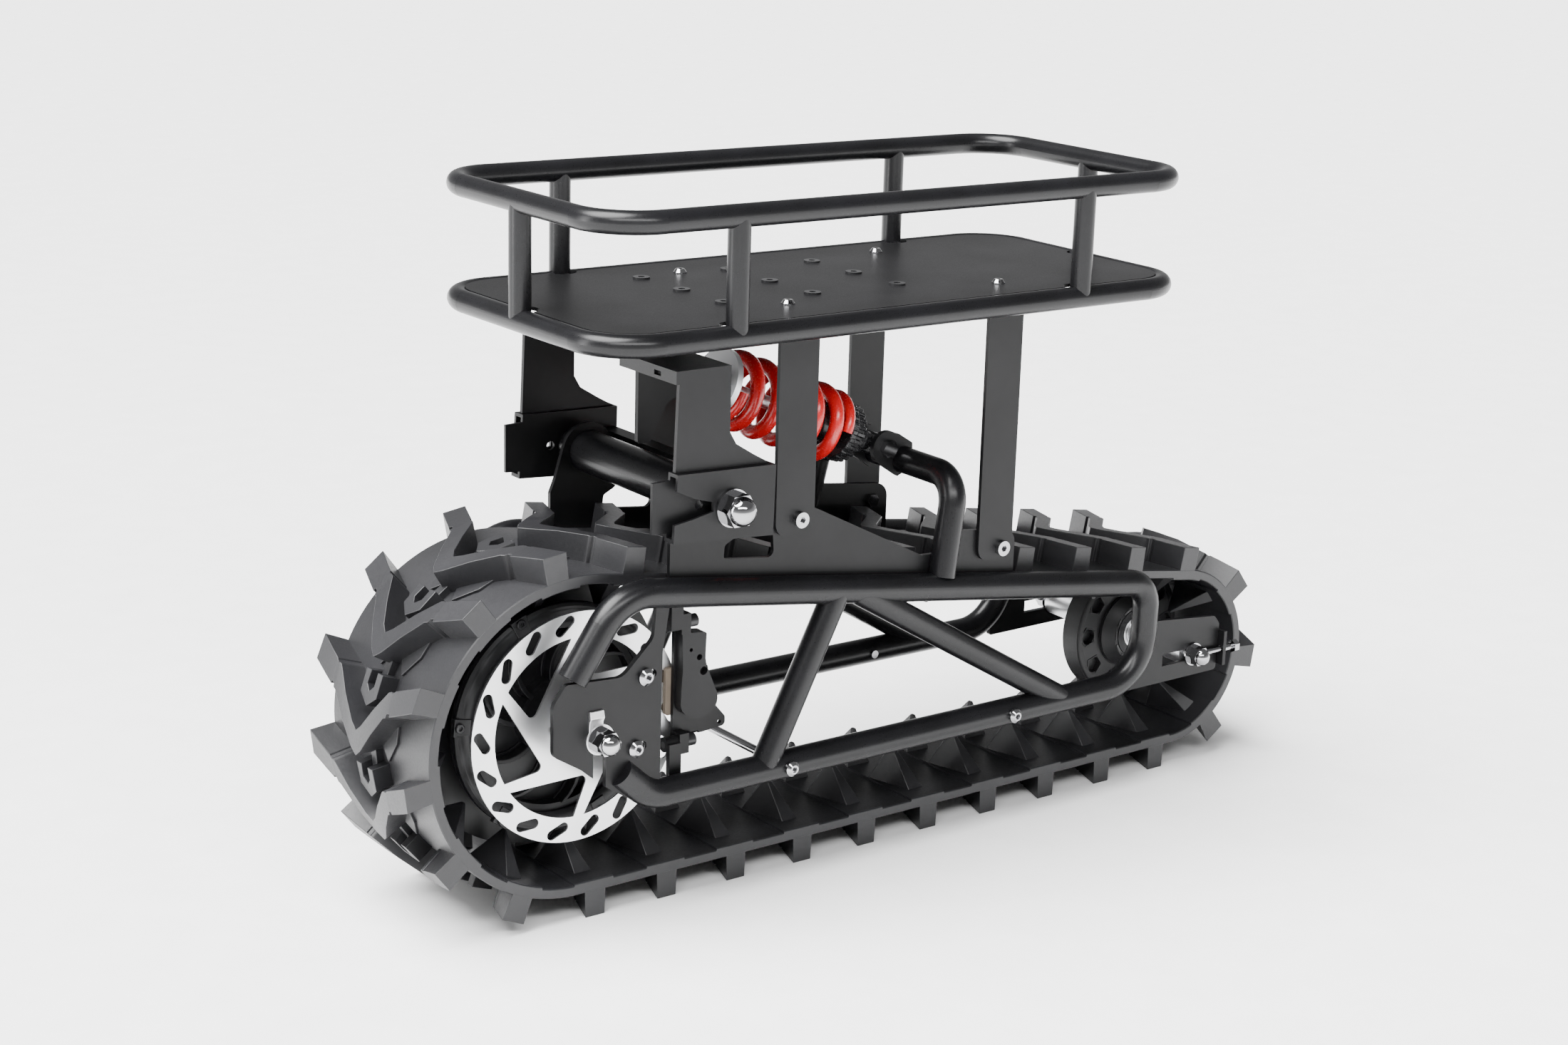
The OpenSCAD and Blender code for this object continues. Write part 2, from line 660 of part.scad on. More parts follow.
// Drawn as seen from the brake side, so its angles run the other way
module rotor_face() mirror([0, 1]) difference() {
    circle(rotor_r);
    circle(bearing_r + 1);
    for (k = [0:rotor_arms - 1]) rotate(k * 360 / rotor_arms) rotor_window();
    for (k = [0:rotor_slots - 1]) rotate(62 + k * 360 / rotor_slots)
        translate([rotor_r - rotor_track / 2 + 1, 0]) rotate(56) {
            square([slot_l, slot_w], center = true);
            for (s = [-1, 1]) translate([s * slot_l / 2, 0]) circle(slot_w / 2);
        }
    for (k = [0:5]) rotate(k * 60) translate([22, 0]) circle(2.5);
}

module rotor() color("#c9cbcd")
    translate([front_axle_p.x, rotor_y, front_axle_p.y]) rotate([-90, 0, 0])
        linear_extrude(rotor_t) rotor_face();

module rotor_bolts() color("#1a1a1b") for (k = [0:5]) {
    p = front_axle_p + 22 * [cos(60 * k), sin(60 * k)];
    difference() {
        union() {
            bar_y(p, 2.5, rotor_y, rotor_y + rotor_t);
            bar_y(p, 4.5, rotor_y + rotor_t, rotor_y + rotor_t + 3);
        }
        hex_y(p, 2, rotor_y + rotor_t + 1, rotor_y + rotor_t + 4);
    }
}

// ---------- brake ----------

caliper_y = [78, 92];
caliper_bolt_y = 86;
caliper_head_r = 5.6;
caliper_bolt_z = [251, 143.5];
lug_x = [219, 228.5]; // bolt lugs of the caliper, between bolt head and post
post_x = [228.5, 241];
bracket_t = 4;       // mounting plate behind the caliper housing
caliper_outline = [[227, 243, 2], [202, 240, 2], [203, 214, 30], [186, 174, 14], [206, 160, 18],
    [228, 172, 14], [226, 210, 30]];
bracket_outline = [[228.5, 259, 3], [216, 259, 3], [214, 240, 6], [205, 232, 8], [196, 200, 12],
    [186, 170, 6], [174, 156, 5], [174, 148, 4], [198, 146, 4], [212, 146, 3], [216, 134, 3],
    [228.5, 134, 3]];

// Posts that take the caliper bolts, each on a tab welded to a frame tube
module caliper_tabs() color("#2a2b2d") difference() {
    union() {
        for (z = caliper_bolt_z) bar_xz([post_x[0], z], [post_x[1], z], 6.5, caliper_bolt_y);
        sheet(91, 5) polygon([[229, 248], [241, 248], [241, top_z(241) + 3], [229, top_z(229) + 3]]);
        sheet(91, 5) polygon([[229, low_tube_z - 3], [241, low_tube_z - 3], [241, 146], [229, 146]]);
    }
    bar_xz([100, top_z(100)], [266, top_z(266)], tube_r, frame_y);
    bar_xz([0, low_tube_z], [252, low_tube_z], tube_r, frame_y);
    for (z = caliper_bolt_z) bar_xz([220, z], [post_x[1] + 1, z], 3, caliper_bolt_y);
}

module caliper_body() color("#2a2b2d") difference() {
    union() {
        sheet(caliper_y[0], bracket_t) polygon(rounded(bracket_outline));
        sheet(caliper_y[0] + 1, caliper_y[1] - caliper_y[0] - 1) polygon(rounded(caliper_outline));
        for (z = caliper_bolt_z) translate([lug_x[0], caliper_y[0] + 2, z - 9])
            cube([lug_x[1] - lug_x[0], 13, 18]);
        sheet(60, 20) polygon([[192, 205], [188, 180], [193.5, 176], [193.5, 205]]);
    }
    for (z = caliper_bolt_z) {
        bar_xz([200, z], [240, z], 3, caliper_bolt_y);
        bar_xz([202, z], [lug_x[0], z], caliper_head_r + 0.6, caliper_bolt_y);
    }
    for (h = [[217.7, 226.5, 1.7], [209, 218.7, 2.7], [204.3, 205.7, 3.8]])
        bar_y([h[0], h[1]], h[2], caliper_y[1] - 6, caliper_y[1] + 1);
    bar_y([180, 152], 2, caliper_y[0] - 1, caliper_y[0] + bracket_t + 1);
}

module caliper_bolts() color("#1a1a1b") for (z = caliper_bolt_z) difference() {
    union() {
        bar_xz([lug_x[0], z], [post_x[1], z], 3, caliper_bolt_y);
        bar_xz([lug_x[0] - 9, z], [lug_x[0], z], caliper_head_r, caliper_bolt_y);
    }
    bar_xz([lug_x[0] - 10, z], [lug_x[0] - 5, z], 2.6, caliper_bolt_y);
}

module brake_pads() color("#5a4a3c") {
    sheet(rotor_y + rotor_t + 0.4, 3.6)
        polygon(rounded([[219, 208, 3], [234, 208, 3], [234, 166, 3], [219, 166, 3]]));
    sheet(rotor_y - 1.4, 1) polygon(rounded([[194, 208, 0], [236, 208, 3], [236, 166, 3], [194, 166, 0]]));
}

// ---------- idler ----------

idler_bearing_r = 16;
spacer_r = 13;

module rear_axle() color("silver") bar_y(rear_axle_p, axle_r, -116, 116);

module rear_spacers() color("#8d9093") both_sides() difference() {
    bar_y(rear_axle_p, spacer_r, 24.4, slide_y - 0.3);
    bar_y(rear_axle_p, axle_r, 0, 200);
}

module rear_nuts() color("silver") both_sides()
    domed_nut(rear_axle_p, slide_y + slide_t + 0.3, 10, 13, axle_r, 2);

module adjuster_bolts() color("silver") both_sides() difference() {
    union() {
        translate([-431, slide_y + 8.5, rear_axle_p.y]) rotate([0, 90, 0])
            cylinder(h = 44, r = 3);
        translate([-431, slide_y + 8.5, rear_axle_p.y]) rotate([0, 90, 0]) cylinder(h = 6, r = 6.5, $fn = 6);
    }
    bar_y(rear_axle_p, 13, 90, 130);
}

module idler_wheel() color("#1b1c1e") difference() {
    union() {
        bar_y(rear_axle_p, idler_r, -lane_in, lane_in);
        bar_y(rear_axle_p, 38.5, -12.5, 12.5);
        bar_y(rear_axle_p, 24, -24, 24);
    }
    bar_y(rear_axle_p, idler_bearing_r, -30, 30);
    for (k = [0:9]) {
        p = rear_axle_p + 53 * [cos(36 * k), sin(36 * k)];
        both_sides() hex_y(p, 9, lane_in - 6, lane_in + 1);
    }
}

module idler_bearings() color("#9a9c9f") both_sides() difference() {
    bar_y(rear_axle_p, idler_bearing_r, 14, 24);
    bar_y(rear_axle_p, axle_r + run_gap, 13, 25);
}

// ---------- carrier ----------

module hat() color("#1f2023") difference() {
    union() {
        translate([hat_x[0], -leg_y, hat_z[1] - hat_t]) cube([hat_x[1] - hat_x[0], 2 * leg_y, hat_t]);
        both_sides() sheet(leg_y - hat_t, hat_t) polygon([[204.5, 478], [255, 478], [258, 393.3],
            [162.8, 390.5], [180, 400], [198, 411], [204.5, 422]]);
        both_sides() translate([hat_x[1] - 0.5, 38, 467]) cube([4, leg_y - 38, 11]);
    }
    both_sides() translate([hat_x[1] - 2, 90, 470]) cube([8, 10, 4]);
}

module web() color("#1f2023") difference() {
    union() {
        sheet(-2.5, 5)
            polygon(rounded([[206, 387, 4], [206, hat_z[1] - hat_t, 0], [240, hat_z[1] - hat_t, 0],
            [240, 466, 3], [216, 460, 3], [216, 387, 3]]));
        sheet(-2.5, 5)
            polygon(rounded([[216, 387, 3], [216, hat_z[1] - hat_t, 0], [204, hat_z[1] - hat_t, 0],
            [160, 460, 8], [152, 444, 8], [165, 430, 10], [186, 420, 10], [203, 387, 3]]));
    }
    bar_y(front_eye, pin_r, -10, 10);
}

module shock_pin_front() color("silver") {
    bar_y(front_eye, pin_r, -15, 15);
    both_sides() hex_y(front_eye, 8.5, 13, 18);
}

// Channel round each end of the pivot axle, with the open jaw at the front
module c_bracket_left() color("#1f2023") difference() {
    union() {
        sheet(inner_plate_y, bracket_y - inner_plate_y)
            polygon([[160.9, 390.4], [259.6, 393.3], [263.1, 335.6], [162.4, 329.2]]);
        sheet(inner_plate_y, jaw_t) polygon([[240, 387], [277, 386], [277, 343], [240, 341]]);
    }
    sheet(inner_plate_y + jaw_t, bracket_y - inner_plate_y - 2 * jaw_t)
        polygon([[150, 387.1], [280, 390.9], [280, 339.9], [150, 331.6]]);
    sheet(bracket_y - jaw_t - 1, jaw_t + 2)
        polygon([[270, 350], [243.6, 354], [224, 358], [224, 366], [242, 371], [270, 384]]);
    bar_y(pivot_p, pivot_axle_r, 100, 140);
    bar_y([231, 362], 4, inner_plate_y - 1, inner_plate_y + jaw_t + 1);
}

module carrier_bar() color("#1f2023")
    translate([163, -inner_plate_y, 366]) cube([15, 2 * inner_plate_y, 6]);

module pivot_axle() color("silver") bar_y(pivot_p, pivot_axle_r, -138, 138);

module pivot_nuts() color("silver") both_sides()
    domed_nut(pivot_p, bracket_y, 15, 15, pivot_axle_r, 3);

// ---------- shock absorber, drawn along local Z from the rear eye ----------

module shock_place() {
    translate([rear_eye.x, 0, rear_eye.y]) rotate([0, 90 - shock_a, 0]) children();
}

seat_z = [50, 188];
seat_t = 7;
damper_top = 118;
rod_end = 60;
fork_in = 4.5;
fork_out = 10.5;
open_gap = 1.2;      // play at the front eye, where the linkage is opened

module shock_body() color("#1b1b1d") difference() {
    union() {
        bar_y(rear_eye, eye_r, -clevis_y + 0.4, clevis_y - 0.4);
        shock_place() {
            translate([0, 0, 8]) cylinder(h = 20, r = 9);
            translate([0, 0, 20]) cylinder(h = damper_top - 20, r = damper_r);
        }
    }
    bar_y(rear_eye, pin_r + run_gap, -30, 30);
    shock_place() translate([0, 0, 30]) cylinder(h = damper_top, r = 6 + run_gap);
}

module preload_collar() color("#c8cacc") shock_place() difference() {
    union() {
        translate([0, 0, seat_z[0] - seat_t]) cylinder(h = seat_t, r = spring_r - 5);
        translate([0, 0, seat_z[0] - seat_t - 8]) cylinder(h = 8, r = spring_r - 9);
    }
    translate([0, 0, 30]) cylinder(h = 40, r = damper_r);
}

function coil_point(a, r, z) = [r * cos(a), r * sin(a), z];

// Coil swept with rings of a small polygon
module spring() color("#8c1717") {
    sides = 8;
    per_turn = 20;
    n = coils * per_turn;
    mid_r = spring_r - wire_r;
    z0 = seat_z[0] + wire_r;
    z1 = seat_z[1] - wire_r;
    points = [for (k = [0:n], e = [0:sides - 1])
        let (a = 360 * k / per_turn, t = k / n, b = 360 * e / sides)
        coil_point(a, mid_r + wire_r * cos(b), z0 + (z1 - z0) * t + wire_r * sin(b))];
    faces = concat([[for (e = [0:sides - 1]) e]],
        [for (k = [0:n - 1], e = [0:sides - 1]) let (a = k * sides + e, b = k * sides + (e + 1) % sides)
            each [[a, a + sides, b + sides], [a, b + sides, b]]],
        [[for (e = [sides - 1:-1:0]) n * sides + e]]);
    shock_place() polyhedron(points, faces);
}

module shock_rod() color("#33353a") difference() {
    shock_place() {
        translate([0, 0, rod_end]) cylinder(h = seat_z[1] - rod_end + 3, r = 6);
        translate([0, 0, seat_z[1]]) cylinder(h = 6, r = spring_r - 3);
        translate([0, 0, seat_z[1] + 5]) cylinder(h = 10, r = 14);
        difference() {
            translate([-8, -fork_out, seat_z[1] + 14])
                cube([16, 2 * fork_out, shock_l + 8 - seat_z[1] - 14]);
            translate([-9, -fork_in, seat_z[1] + 20]) cube([18, 2 * fork_in, 60]);
        }
    }
    bar_y(front_eye, pin_r + open_gap, -30, 30);
}

upper_tube_left();
mirror([0, 1, 0]) upper_tube_left();  // upper_tube_right
lower_tube_left();
mirror([0, 1, 0]) lower_tube_left();  // lower_tube_right
front_braces();
rear_braces();
side_plate_left();
mirror([0, 1, 0]) side_plate_left();  // side_plate_right
dropout_left();
mirror([0, 1, 0]) dropout_left();  // dropout_right
slide_plates();
adjuster_plates();
cross_rod();
frame_bolts();
belt_band();
belt_lugs();
belt_teeth();
hoop_tube();
clevis_plates();
pivot_tube();
pivot_bushings();
lower_ring();
upper_ring();
rack_uprights();
rack_plate();
rack_inserts();
rack_bolts();
front_struts();
rear_struts();
strut_bolts();
front_axle();
front_spacers();
front_nuts();
caliper_tabs();
caliper_body();
caliper_bolts();
brake_pads();
shock_pin_rear();
drive_drum();
drum_bearings();
rotor();
rotor_bolts();
rear_axle();
rear_spacers();
rear_nuts();
adjuster_bolts();
idler_wheel();
idler_bearings();
hat();
web();
c_bracket_left();
mirror([0, 1, 0]) c_bracket_left();  // c_bracket_right
carrier_bar();
pivot_axle();
pivot_nuts();
shock_pin_front();
shock_body();
preload_collar();
spring();
shock_rod();
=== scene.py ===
import json
import math

import bmesh
import bpy
from mathutils import Matrix, Vector


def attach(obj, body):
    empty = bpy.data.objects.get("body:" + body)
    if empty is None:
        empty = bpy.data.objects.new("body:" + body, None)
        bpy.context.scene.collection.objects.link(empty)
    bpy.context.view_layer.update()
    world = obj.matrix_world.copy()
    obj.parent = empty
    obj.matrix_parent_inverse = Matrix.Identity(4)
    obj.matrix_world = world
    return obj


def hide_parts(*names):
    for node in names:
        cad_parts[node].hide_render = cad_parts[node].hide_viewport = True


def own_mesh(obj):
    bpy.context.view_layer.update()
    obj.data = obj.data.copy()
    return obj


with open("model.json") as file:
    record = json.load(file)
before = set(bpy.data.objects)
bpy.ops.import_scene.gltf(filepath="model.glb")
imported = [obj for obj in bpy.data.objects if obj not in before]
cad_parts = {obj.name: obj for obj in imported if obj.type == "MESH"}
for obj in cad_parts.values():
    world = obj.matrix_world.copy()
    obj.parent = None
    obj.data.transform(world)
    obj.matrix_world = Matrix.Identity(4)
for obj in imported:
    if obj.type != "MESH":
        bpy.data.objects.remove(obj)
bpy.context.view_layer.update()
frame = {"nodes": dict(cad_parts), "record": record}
MM = 0.001


# ---------- materials ----------

def new_material(name):
    """An empty node material and its shader."""
    mat = bpy.data.materials.new(name)
    mat.use_nodes = True
    shader = mat.node_tree.nodes["Principled BSDF"]
    return mat, mat.node_tree, shader


def noise(tree, scale, detail, rough=0.55):
    """Noise in object space, which is the CAD frame in metres."""
    coords = tree.nodes.new("ShaderNodeTexCoord")
    node = tree.nodes.new("ShaderNodeTexNoise")
    node.inputs["Scale"].default_value = scale
    node.inputs["Detail"].default_value = detail
    node.inputs["Roughness"].default_value = rough
    tree.links.new(coords.outputs["Object"], node.inputs["Vector"])
    return node.outputs["Fac"]


def ramp(tree, source, stops):
    """Colour ramp over a value; stops are (position, colour or grey)."""
    node = tree.nodes.new("ShaderNodeValToRGB")
    elements = node.color_ramp.elements
    while len(elements) < len(stops):
        elements.new(0.5)
    for element, (place, value) in zip(elements, stops):
        element.position = place
        rgb = value if isinstance(value, tuple) else (value,) * 3
        element.color = (*rgb, 1.0)
    tree.links.new(source, node.inputs["Fac"])
    return node.outputs["Color"]


def bump(tree, shader, source, strength, distance):
    """Bump from a height value, distance in metres."""
    node = tree.nodes.new("ShaderNodeBump")
    node.inputs["Strength"].default_value = strength
    node.inputs["Distance"].default_value = distance
    tree.links.new(source, node.inputs["Height"])
    tree.links.new(node.outputs["Normal"], shader.inputs["Normal"])


def surface(name, dark, light, rough, metallic=0.0, grain=900.0, bump_strength=0.1,
            bump_distance=0.0002, patch=18.0, coat=0.0, specular=0.5):
    """Mottled surface: colour and roughness wander slowly, and a fine grain gives the bump."""
    mat, tree, shader = new_material(name)
    slow = noise(tree, patch, 3.0)
    fine = noise(tree, grain, 3.0, 0.6)
    colour = ramp(tree, slow, [(0.3, dark), (0.7, light)])
    roughness = ramp(tree, fine, [(0.25, rough[0]), (0.75, rough[1])])
    tree.links.new(colour, shader.inputs["Base Color"])
    tree.links.new(roughness, shader.inputs["Roughness"])
    shader.inputs["Metallic"].default_value = metallic
    shader.inputs["Coat Weight"].default_value = coat
    shader.inputs["Coat Roughness"].default_value = 0.25
    shader.inputs["Specular IOR Level"].default_value = specular
    bump(tree, shader, fine, bump_strength, bump_distance)
    return mat


MATERIALS = {
    "frame_black": surface("frame_black", (0.0035, 0.0035, 0.004), (0.006, 0.006, 0.007),
                           (0.26, 0.34), grain=700, bump_strength=0.0, specular=0.30),
    "plate_black": surface("plate_black", (0.003, 0.003, 0.0034), (0.006, 0.006, 0.0066),
                           (0.38, 0.48), grain=1100, bump_strength=0.08, specular=0.24),
    "chrome_hardware": surface("chrome_hardware", (0.34, 0.34, 0.35), (0.42, 0.42, 0.43),
                               (0.07, 0.12), metallic=1.0, grain=500, bump_strength=0.0),
    "black_hardware": surface("black_hardware", (0.010, 0.010, 0.011), (0.016, 0.016, 0.017),
                              (0.28, 0.38), grain=900, bump_strength=0.05, specular=0.4),
    "belt_rubber": surface("belt_rubber", (0.009, 0.009, 0.010), (0.014, 0.014, 0.016),
                           (0.38, 0.48), grain=420, bump_strength=0.22, bump_distance=0.0004,
                           patch=9),
    "bronze": surface("bronze", (0.42, 0.28, 0.12), (0.55, 0.38, 0.18),
                      (0.3, 0.4), metallic=1.0),
    "bearing_steel": surface("bearing_steel", (0.72, 0.73, 0.74), (0.80, 0.80, 0.81),
                             (0.34, 0.40), metallic=1.0, grain=600, bump_strength=0.0),
    "drum_black": surface("drum_black", (0.006, 0.006, 0.007), (0.011, 0.011, 0.012),
                          (0.36, 0.46), grain=500, bump_strength=0.06, specular=0.35),
    "idler_plastic": surface("idler_plastic", (0.008, 0.008, 0.009), (0.014, 0.014, 0.015),
                             (0.42, 0.55), grain=650, bump_strength=0.12, specular=0.35),
    "pad_lining": surface("pad_lining", (0.10, 0.08, 0.06), (0.20, 0.16, 0.12),
                          (0.7, 0.85), grain=1500),
    "damper_black": surface("damper_black", (0.008, 0.008, 0.009), (0.014, 0.014, 0.015),
                            (0.2, 0.3), bump_strength=0.03),
    "spring_red": surface("spring_red", (0.52, 0.006, 0.008), (0.62, 0.010, 0.012),
                          (0.22, 0.30), grain=500, bump_strength=0.02, coat=0.4),
}

slot_of = {part["node"]: part["material_slot"] for part in frame["record"]["subparts"]}
for name, obj in frame["nodes"].items():
    obj.data.materials.clear()
    obj.data.materials.append(MATERIALS[slot_of[name]])


# ---------- mesh building ----------
# Points are in millimetres in the frame's axes until a piece is made.

class Shape:
    """Closed solids gathered into one piece."""

    def __init__(self):
        self.points = []
        self.faces = []

    def add(self, points, faces):
        first = len(self.points)
        self.points += [tuple(p) for p in points]
        self.faces += [[first + i for i in face] for face in faces]
        return self

    def skin(self, rings, loop=False):
        """Joins rings of equal length, and caps the two ends unless they close a loop."""
        size = len(rings[0])
        points = [p for ring in rings for p in ring]
        faces = []
        for i in range(len(rings) if loop else len(rings) - 1):
            here, there = i * size, (i + 1) % len(rings) * size
            for k in range(size):
                after = (k + 1) % size
                faces.append([here + k, here + after, there + after, there + k])
        if not loop:
            faces.append(list(range(size - 1, -1, -1)))
            faces.append([(len(rings) - 1) * size + k for k in range(size)])
        return self.add(points, faces)

    def piece(self, name, body, slot, replaces=(), bevel=0.0, crease=32):
        """Makes the object and says which body it rides on and which material slot it has."""
        mesh = bpy.data.meshes.new(name)
        mesh.from_pydata([[v * MM for v in p] for p in self.points], [], self.faces)
        work = bmesh.new()
        work.from_mesh(mesh)
        bmesh.ops.recalc_face_normals(work, faces=work.faces)
        work.to_mesh(mesh)
        work.free()
        mesh.polygons.foreach_set("use_smooth", [True] * len(mesh.polygons))
        mesh.set_sharp_from_angle(angle=math.radians(crease))
        obj = bpy.data.objects.new(name, mesh)
        bpy.context.scene.collection.objects.link(obj)
        mesh.materials.append(MATERIALS[slot])
        if bevel:
            soften(obj, bevel)
        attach(obj, body)
        if replaces:
            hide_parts(*replaces)
        return obj


def soften(obj, width, segments=2, angle=35):
    """Rounds the sharp edges by a width in millimetres."""
    bevel = obj.modifiers.new("soften", "BEVEL")
    bevel.width = width * MM
    bevel.segments = segments
    bevel.limit_method = "ANGLE"
    bevel.angle_limit = math.radians(angle)
    obj.modifiers.new("even_shading", "WEIGHTED_NORMAL").keep_sharp = True


def lathe_y(centre, profile, steps=96):
    """Rings of a closed profile of (radius, y) points about a Y axis through centre (x, z)."""
    rings = []
    for k in range(steps):
        a = 2 * math.pi * k / steps
        rings.append([(centre[0] + r * math.cos(a), y, centre[1] + r * math.sin(a))
                      for r, y in profile])
    return rings


# ---------- track belt ----------

BELT_HALF = 82.65
BAND_T = 10.5
LUG_H = 23
LUG_COUNT = 29
FRONT_C, FRONT_R = (322.7, 164.6), 141.6
REAR_C, REAR_R = (-374.0, 113.2), 90.2
RUN = FRONT_C[0] - REAR_C[0]
SLOPE = 2 * math.atan2(FRONT_C[1] - REAR_C[1], RUN)
TOP_A = math.pi / 2 + SLOPE
REAR_LEN = REAR_R * (1.5 * math.pi - TOP_A)
FRONT_LEN = FRONT_R * (TOP_A + math.pi / 2)
BELT_LEN = 2 * RUN + REAR_LEN + FRONT_LEN
PITCH = BELT_LEN / LUG_COUNT
LUG_START = 17
LUG_ROOT = 1.5
# Chevron: distance across from the middle, and lead along the belt
CHEVRON = [(82.5, 0), (62, 7), (41, 14), (24, 31), (8, 47), (0, 52)]


def belt_point(s, y, h):
    """Point at s along the belt, y across it and h out of its outer face."""
    t = s % BELT_LEN
    if t < RUN:
        return (FRONT_C[0] - t, y, LUG_H - h)
    t -= RUN
    if t < REAR_LEN:
        a = 1.5 * math.pi - t / REAR_R
        return (REAR_C[0] + (REAR_R + h) * math.cos(a), y, REAR_C[1] + (REAR_R + h) * math.sin(a))
    t -= REAR_LEN
    if t < RUN:
        return (REAR_C[0] + (REAR_R + h) * math.cos(TOP_A) + t * math.cos(SLOPE), y,
                REAR_C[1] + (REAR_R + h) * math.sin(TOP_A) + t * math.sin(SLOPE))
    a = TOP_A - (t - RUN) / FRONT_R
    return (FRONT_C[0] + (FRONT_R + h) * math.cos(a), y, FRONT_C[1] + (FRONT_R + h) * math.sin(a))


def chevron_lead(y):
    """Lead of the chevron's middle line at a distance y from the middle of the belt."""
    for (y0, lead0), (y1, lead1) in zip(CHEVRON, CHEVRON[1:]):
        if y <= y0 and y >= y1:
            return lead0 + (lead1 - lead0) * (y0 - y) / (y0 - y1)
    return CHEVRON[-1][1]


def belt_band():
    """The band: its inner face has one raised step for each pitch, beside the guide teeth."""
    thin = 1.8
    edge = 0.9
    step_lead, flank = 52.5, 0.4
    thick_len = 0.53 * PITCH
    thin_len = PITCH - thick_len - 2 * flank
    half = BELT_HALF
    rings = []
    for i in range(LUG_COUNT):
        start = LUG_START + i * PITCH + step_lead
        stations = [(start + thick_len * k / 6, BAND_T) for k in range(7)]
        stations += [(start + thick_len + flank + thin_len * k / 5, BAND_T - thin)
                     for k in range(6)]
        for s, t in stations:
            section = [(-half, -edge), (-half + edge, 0), (half - edge, 0), (half, -edge),
                       (half, -t + edge), (half - edge, -t), (-half + edge, -t), (-half, -t + edge)]
            rings.append([belt_point(s, y, h) for y, h in section])
    Shape().skin(rings, loop=True).piece("belt_band_moulded", "track_frame", "belt_rubber",
                                         replaces=["belt_band"], crease=28)


def lug_stations():
    """(y, lead, inset of the flanks) across one chevron, with a moulded groove in each arm."""
    groove_y, groove_half, groove_in, slope = 47.5, 2.6, 2.6, 0.8
    half = [(y, 0) for y, _ in CHEVRON]
    half += [(groove_y + groove_half, 0), (groove_y + groove_half - slope, groove_in),
             (groove_y - groove_half + slope, groove_in), (groove_y - groove_half, 0)]
    half.sort(reverse=True)
    mirrored = [(-y, inset) for y, inset in reversed(half[:-1])]
    return [(y, chevron_lead(abs(y)), inset) for y, inset in half + mirrored]


def belt_lugs():
    """Chevron lugs; between them a notched block on the middle line, its tie and two low pads."""
    root_half, top_half = 10.5, 9.6
    near = 0.3  # share of the groove's inset on the flank where s is smaller
    block_lead, block_top = 47, 16
    root_scale, top_scale = 1.03, 0.96
    block = [(-13, 14), (-13, 5.5), (-2, 6), (3, 0), (-2, -6), (-13, -5.5), (-13, -14),
             (6, -14), (15, 0), (6, 14)]
    tie_lead, tie_half, tie_top = 56, 4.5, 7
    pad = [(50, 5), (67, 18), (47, 33), (28, 33)]
    pad_top = 2.6
    shape = Shape()
    for i in range(LUG_COUNT):
        s = LUG_START + i * PITCH
        shape.skin([[belt_point(s + lead - root_half + near * inset, y, -LUG_ROOT),
                     belt_point(s + lead + root_half - inset, y, -LUG_ROOT),
                     belt_point(s + lead + top_half - inset, y, LUG_H),
                     belt_point(s + lead - top_half + near * inset, y, LUG_H)]
                    for y, lead, inset in lug_stations()])
        block_s = s + PITCH / 2 + block_lead
        shape.skin([[belt_point(block_s + d * k, y * k, h) for d, y in block]
                    for h, k in ((-LUG_ROOT, root_scale), (block_top, top_scale))])
        tie = [(s + tie_lead, -tie_half), (s + tie_lead, tie_half),
               (block_s - 2, tie_half), (block_s - 2, -tie_half)]
        shape.skin([[belt_point(a, y, h) for a, y in tie] for h in (-LUG_ROOT, tie_top)])
        for side in (1, -1):
            shape.skin([[belt_point(s + a, side * y, h) for a, y in pad]
                        for h in (-LUG_ROOT, pad_top)])
    shape.piece("belt_lugs_moulded", "track_frame", "belt_rubber", replaces=["belt_lugs"],
                bevel=0.7)


belt_band()
belt_lugs()


# ---------- drive wheel ----------

AXLE_F = (319.2, 171.0)


def around(centre, radius, angle, y):
    """Point at a radius and an angle in degrees about a Y axis through centre (x, z)."""
    a = math.radians(angle)
    return (centre[0] + radius * math.cos(a), y, centre[1] + radius * math.sin(a))


def arc_profile(centre_r, centre_y, radius, a0, a1, steps):
    """Arc of (radius, y) profile points, angles in degrees from the outward direction."""
    return [(centre_r + radius * math.cos(math.radians(a0 + (a1 - a0) * k / steps)),
             centre_y + radius * math.sin(math.radians(a0 + (a1 - a0) * k / steps)))
            for k in range(steps + 1)]


def drum_rims():
    """The rounded rim on each flank of the wheel, kept clear of the rows of teeth."""
    shape = Shape()
    for side in (1, -1):
        profile = [(84, 33.5), (92, 33.8)] + arc_profile(94.2, 41.2, 7.2, -60, 90, 10)
        profile += [(90, 48.2), (86, 47.2), (84, 45)]
        shape.skin(lathe_y(AXLE_F, [(r, side * y) for r, y in profile], 128), loop=True)
    shape.piece("drum_rims", "drive_wheel", "drum_black", crease=40)


def drum_ribs():
    """Swept ribs in the dish of each flank, seen through the disc's windows."""
    shape = Shape()
    inner_r, outer_r, sweep = 31, 79, 26
    count, steps = 9, 8
    web, foot = (2.2, 29.5, 43), (4.5, 29.5, 32.5)
    for side in (1, -1):
        for k in range(count):
            for half, low, high in (web, foot):
                rings = []
                for step in range(steps + 1):
                    t = step / steps
                    r = inner_r + (outer_r - inner_r) * t
                    a = 360 / count * k + sweep * t * t
                    spread = math.degrees(half / r)
                    rings.append([around(AXLE_F, r, a + turn, side * y) for turn, y in
                                  ((-spread, low), (spread, low), (spread, high), (-spread, high))])
                shape.skin(rings)
    shape.piece("drum_ribs", "drive_wheel", "drum_black", bevel=0.5)


